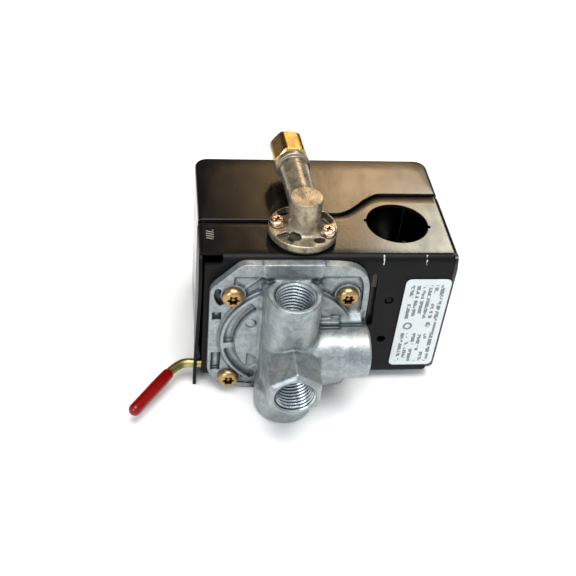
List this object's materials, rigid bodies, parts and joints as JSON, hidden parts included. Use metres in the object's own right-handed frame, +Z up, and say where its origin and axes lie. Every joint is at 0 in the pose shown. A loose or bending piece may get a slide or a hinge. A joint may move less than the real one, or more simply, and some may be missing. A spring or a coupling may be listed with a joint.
{
  "type": "pressure switch",
  "caption": "Air-compressor pressure switch in a sheet-metal case with a cross-shaped cast port manifold, unloader valve with compression elbow, and a side on/off lever.",
  "frame": {"origin": "centre of the bounding box, at the level it lies on (the cover's lower wall, the left plate's lower edge and the bottom port's rim)", "axes": "+Z up as it lies, towards the unloader valve; +Y from the tank port to the cover's back; +X from the lever's side to the label's side"},
  "size_m": [0.1128, 0.0936, 0.077],
  "materials": {
    "black_paint": "gloss",
    "cast_zinc": "cast",
    "yellow_zinc_steel": "plated",
    "brass": "machined",
    "moulded_phenolic": "moulded",
    "red_vinyl": "gloss",
    "rubber": "matt",
    "paper_label": "printed film",
    "plated_steel": "plated"
  },
  "bodies": {
    "root": {"base_frame": "black_paint", "block_screw": "yellow_zinc_steel", "diaphragm": "rubber", "ferrule": "brass", "label": "paper_label", "manifold_screw_1": "yellow_zinc_steel", "manifold_screw_2": "yellow_zinc_steel", "manifold_screw_3": "yellow_zinc_steel", "manifold_screw_4": "yellow_zinc_steel", "port_manifold": "cast_zinc", "range_lock_nut": "brass", "range_spring": "plated_steel", "rocker_pin": "plated_steel", "spring_bridge": "plated_steel", "spring_seat": "plated_steel", "terminal_1": "brass", "terminal_2": "brass", "terminal_3": "brass", "terminal_4": "brass", "terminal_block": "moulded_phenolic", "terminal_screw_1": "plated_steel", "terminal_screw_2": "plated_steel", "terminal_screw_3": "plated_steel", "terminal_screw_4": "plated_steel", "unloader_gasket": "rubber", "unloader_screw_1": "yellow_zinc_steel", "unloader_screw_2": "yellow_zinc_steel", "unloader_valve_body": "cast_zinc"},
    "cover": {"cover": "black_paint", "cover_screw": "plated_steel"},
    "lever": {"lever_rod": "yellow_zinc_steel", "lever_grip": "red_vinyl"},
    "plunger": {"diaphragm_plunger": "plated_steel"},
    "rocker": {"main_rocker": "plated_steel", "contact_carrier": "moulded_phenolic", "moving_contact_1": "brass", "moving_contact_2": "brass"},
    "unloader_pin": {"unloader_pin": "plated_steel"},
    "range_adjuster": {"range_stud": "plated_steel"},
    "compression_nut": {"compression_nut": "brass"}
  },
  "joints": [
    {"name": "cover_slide", "type": "slide", "parent": "root", "child": "cover", "axis": [0, 1, 0], "range_m": [0, 0.07]},
    {"name": "lever_turn", "type": "hinge", "parent": "root", "child": "lever", "pos_m": [-0.03266, -0.0113, 0.0068], "axis": [-1, 0, 0], "range_deg": [0, 75]},
    {"name": "plunger_slide", "type": "slide", "parent": "root", "child": "plunger", "axis": [0, 1, 0], "range_m": [0, 0.0015], "stiffness_N_per_m": 1500, "deforming": ["range_spring"]},
    {"name": "rocker_tilt", "type": "hinge", "parent": "root", "child": "rocker", "pos_m": [-0.00146, -0.0107, 0.044], "axis": [1, 0, 0], "range_deg": [0, 5.2]},
    {"name": "unloader_pin_slide", "type": "slide", "parent": "root", "child": "unloader_pin", "axis": [0, 0, 1], "range_m": [0, 0.0008]},
    {"name": "range_adjust", "type": "hinge", "parent": "root", "child": "range_adjuster", "pos_m": [-0.00146, 0.0257, 0.0266], "axis": [0, 1, 0], "range_deg": [-180, 180]},
    {"name": "compression_nut_turn", "type": "hinge", "parent": "root", "child": "compression_nut", "pos_m": [0.00115, 0.02975, 0.0708], "axis": [-0.0558, 0.9984, 0], "range_deg": [0, 180]}
  ],
  "couplings": [
    {"joint": "rocker_tilt", "follows": "plunger_slide", "rad_per_m": 60},
    {"joint": "unloader_pin_slide", "follows": "plunger_slide", "ratio": 0.51}
  ]
}
